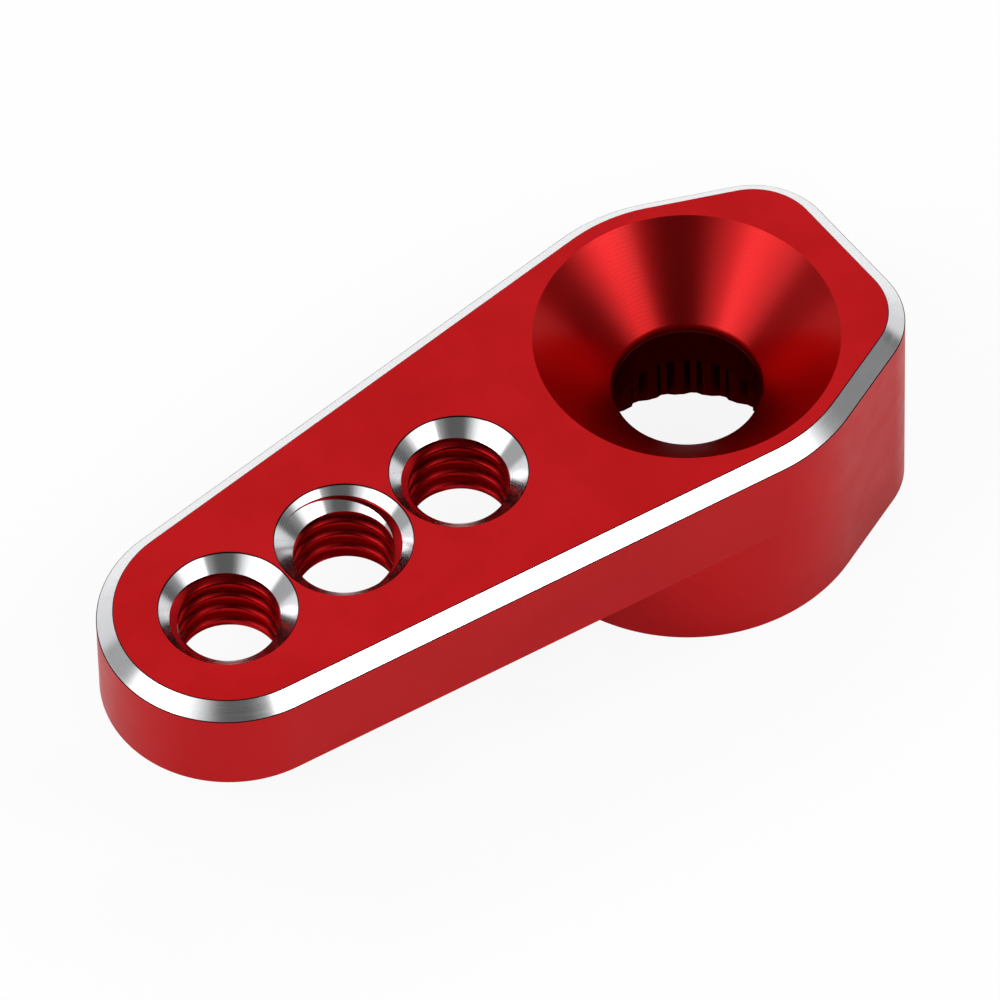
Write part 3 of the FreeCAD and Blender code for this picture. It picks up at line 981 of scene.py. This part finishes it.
def pale_floor():
    """Nearly white for the camera, almost plain paper in a mirror, and dimmer where a shadow falls."""
    finish = bpy.data.materials.new("pale_floor")
    finish.use_nodes = True
    tree = finish.node_tree
    tree.nodes.clear()
    paper = add_node(tree, "ShaderNodeBsdfDiffuse", {"Color": PAPER})
    glow = add_node(tree, "ShaderNodeEmission", {"Color": (1, 1, 1, 1), "Strength": 1.0})
    ray = add_node(tree, "ShaderNodeLightPath")
    seen = calculate(tree, "MULTIPLY", ray.outputs["Is Camera Ray"], WHITE_SEEN)
    mirrored = calculate(tree, "MULTIPLY", ray.outputs["Is Glossy Ray"], WHITE_MIRRORED)
    share = calculate(tree, "MAXIMUM", seen, mirrored)
    mix = add_node(tree, "ShaderNodeMixShader")
    tree.links.new(share, mix.inputs[0])
    tree.links.new(paper.outputs[0], mix.inputs[1])
    tree.links.new(glow.outputs[0], mix.inputs[2])
    target = add_node(tree, "ShaderNodeOutputMaterial")
    tree.links.new(mix.outputs[0], target.inputs["Surface"])
    return finish


def make_floor():
    mesh = bmesh.new()
    bmesh.ops.create_grid(mesh, x_segments=1, y_segments=1, size=FLOOR_SIZE / 2)
    data = bpy.data.meshes.new("floor")
    mesh.to_mesh(data)
    mesh.free()
    data.materials.append(pale_floor())
    floor = bpy.data.objects.new("floor", data)
    bpy.context.scene.collection.objects.link(floor)
    print("floor:", FLOOR_SIZE, "m wide")


make_floor()

# %% [markdown]
# The lamps are painted on the room as soft rectangles, measured in degrees round the horn. A painted lamp
# is easy to move, and it can be as wide as a real softbox close to a small part. The camera sees plain
# white instead, and dull surfaces get only a share of it, so that the floor keeps its shadow.

# %% Lamps painted on the room
LAMPS = [
    # name, azimuth from and to, elevation from and to, softness in degrees, level added
    ("back wall", 165, 305, 8, 74, 5, 0.62),
    ("back screen", 175, 295, 36, 72, 6, 0.31),
    ("grey card", -52, -25, 8, 34, 3, 0.26),
    ("dim wall", 142, 172, 20, 36, 5, 0.08),
    ("tip lamp", -28, 12, 19, 60, 5, 1.5),
    ("tip lamp glow", -8, 32, 19, 60, 15, 1.0),
    ("side lamp spill", 80, 144, 18, 74, 12, 0.26),
    ("side lamp", 105, 133, 20, 60, 8, 0.8),
    ("side lamp core", 92, 124, 31, 46, 6, 2.8),
]
HORIZON_LEVEL = 0.77
DARK_LEVEL = 0.10
HORIZON_BOTTOM = -100
HORIZON_TOP = 9
HORIZON_SOFT = 3
# the share of the room's light that dull surfaces get
DIFFUSE_SHARE = 0.35


def soft_window(tree, angle, start, end, soft, turning):
    """One inside a range of angles, nought outside, with soft edges. All in degrees."""
    away = calculate(tree, "SUBTRACT", angle, (start + end) / 2)
    if turning:
        wrap = add_node(tree, "ShaderNodeMath", operation="WRAP")
        wrap.inputs[1].default_value = 180.0
        wrap.inputs[2].default_value = -180.0
        away = join(tree, away, wrap, 0).outputs[0]
    half = (end - start) / 2
    edge = add_node(tree, "ShaderNodeMapRange", {
        "From Min": half + soft, "From Max": half - soft, "To Min": 0.0, "To Max": 1.0},
        interpolation_type="SMOOTHSTEP")
    return join(tree, calculate(tree, "ABSOLUTE", away), edge, "Value").outputs["Result"]


def paint_room():
    """White for the camera. For the metal: lamps, a bright horizon and a dark room between them."""
    world = bpy.data.worlds.new("studio")
    bpy.context.scene.world = world
    world.use_nodes = True
    tree = world.node_tree
    tree.nodes.clear()
    place = add_node(tree, "ShaderNodeTexCoord").outputs["Generated"]
    split = join(tree, place, add_node(tree, "ShaderNodeSeparateXYZ"), 0)
    turn = calculate(tree, "ARCTAN2", split.outputs["Y"], split.outputs["X"])
    azimuth = calculate(tree, "MULTIPLY", turn, math.degrees(1))
    rise = calculate(tree, "ARCSINE", split.outputs["Z"])
    elevation = calculate(tree, "MULTIPLY", rise, math.degrees(1))
    low = soft_window(tree, elevation, HORIZON_BOTTOM, HORIZON_TOP, HORIZON_SOFT, False)
    horizon = calculate(tree, "MULTIPLY", low, HORIZON_LEVEL - DARK_LEVEL)
    level = calculate(tree, "ADD", horizon, DARK_LEVEL)
    above = calculate(tree, "SUBTRACT", 1.0, low)
    for _, az_from, az_to, el_from, el_to, soft, added in LAMPS:
        across = soft_window(tree, azimuth, az_from, az_to, soft, True)
        upward = soft_window(tree, elevation, el_from, el_to, soft, False)
        inside = calculate(tree, "MULTIPLY", calculate(tree, "MULTIPLY", across, upward), above)
        level = calculate(tree, "ADD", level, calculate(tree, "MULTIPLY", inside, added))
    ray = add_node(tree, "ShaderNodeLightPath")
    dimmed = calculate(tree, "MULTIPLY", ray.outputs["Is Diffuse Ray"], DIFFUSE_SHARE - 1)
    level = calculate(tree, "MULTIPLY", level, calculate(tree, "ADD", dimmed, 1.0))
    room = add_node(tree, "ShaderNodeBackground", {"Color": (1, 1, 1, 1)})
    tree.links.new(level, room.inputs["Strength"])
    white = add_node(tree, "ShaderNodeBackground", {"Color": (1, 1, 1, 1), "Strength": 1.0})
    mix = add_node(tree, "ShaderNodeMixShader")
    tree.links.new(ray.outputs["Is Camera Ray"], mix.inputs[0])
    tree.links.new(room.outputs[0], mix.inputs[1])
    tree.links.new(white.outputs[0], mix.inputs[2])
    target = add_node(tree, "ShaderNodeOutputWorld")
    tree.links.new(mix.outputs[0], target.inputs["Surface"])
    print("lamps painted on the room:", len(LAMPS))


paint_room()

# %% [markdown]
# A ring of real lamps lights the floor alone: the metal doesn't mirror them. They draw the soft shadow
# under the arm, and the foot of the horn is darker where it mirrors that shadow. The ring is stronger on
# one side, so the shadow falls towards the other.

# %% Ring of lamps for the floor
RING_LAMPS = 6
RING_ELEVATION = 50
RING_DISTANCE = 0.5
RING_LAMP_SIZE = 0.2
RING_LEVEL = 3.2
KEY_LEVEL = 3.8
KEY_AZIMUTH = 50


def ring_of_lamps():
    rise = math.radians(RING_ELEVATION)
    for number in range(RING_LAMPS):
        turn = 2 * math.pi * number / RING_LAMPS
        level = RING_LEVEL + KEY_LEVEL * max(0.0, math.cos(turn - math.radians(KEY_AZIMUTH)))
        lamp = bpy.data.lights.new("ring_lamp_%d" % number, "AREA")
        lamp.shape = "DISK"
        lamp.size = RING_LAMP_SIZE
        # the power of an area lamp is its radiance times its area times pi
        lamp.energy = level * math.pi * math.pi * RING_LAMP_SIZE ** 2 / 4
        stand = bpy.data.objects.new(lamp.name, lamp)
        towards = Vector((math.cos(turn) * math.cos(rise), math.sin(turn) * math.cos(rise), math.sin(rise)))
        stand.location = towards * RING_DISTANCE
        stand.rotation_mode = "QUATERNION"
        stand.rotation_quaternion = towards.to_track_quat("Z", "Y")
        stand.visible_camera = False
        stand.visible_glossy = False
        bpy.context.scene.collection.objects.link(stand)
    print("ring of", RING_LAMPS, "lamps", RING_DISTANCE, "m away")


ring_of_lamps()

# %% [markdown]
# The camera stands far away with a long lens, which is how small parts are photographed: near and far
# edges stay almost parallel. Its place was worked out from the round edges and the outline in the photo.

# %% Camera
CAMERA_AZIMUTH = 144.594
CAMERA_ELEVATION = 52.293
CAMERA_ROLL = -1.399
CAMERA_DISTANCE = 0.42213
CAMERA_RIGHT = -0.004706
CAMERA_UP = -0.000204
FOCAL_SHARE = 16.8754
SENSOR_MM = 36.0


def make_camera():
    turn, rise, roll = (math.radians(v) for v in (CAMERA_AZIMUTH, CAMERA_ELEVATION, CAMERA_ROLL))
    back = Vector((math.sin(turn) * math.cos(rise), -math.cos(turn) * math.cos(rise), math.sin(rise)))
    level = Vector((math.cos(turn), math.sin(turn), 0))
    lift = back.cross(level)
    right = math.cos(roll) * level + math.sin(roll) * lift
    up = -math.sin(roll) * level + math.cos(roll) * lift
    lens = bpy.data.cameras.new("camera")
    lens.sensor_width = SENSOR_MM
    lens.lens = FOCAL_SHARE * SENSOR_MM
    lens.clip_start = 0.01
    camera = bpy.data.objects.new("camera", lens)
    facing = Matrix((right, up, back)).transposed().to_4x4()
    place = CAMERA_RIGHT * right + CAMERA_UP * up + CAMERA_DISTANCE * back
    camera.matrix_world = Matrix.Translation(place) @ facing
    bpy.context.scene.collection.objects.link(camera)
    bpy.context.scene.camera = camera
    print("camera at", [round(v, 4) for v in place], "lens", round(lens.lens, 1))


make_camera()
bpy.context.scene.view_settings.view_transform = "Standard"
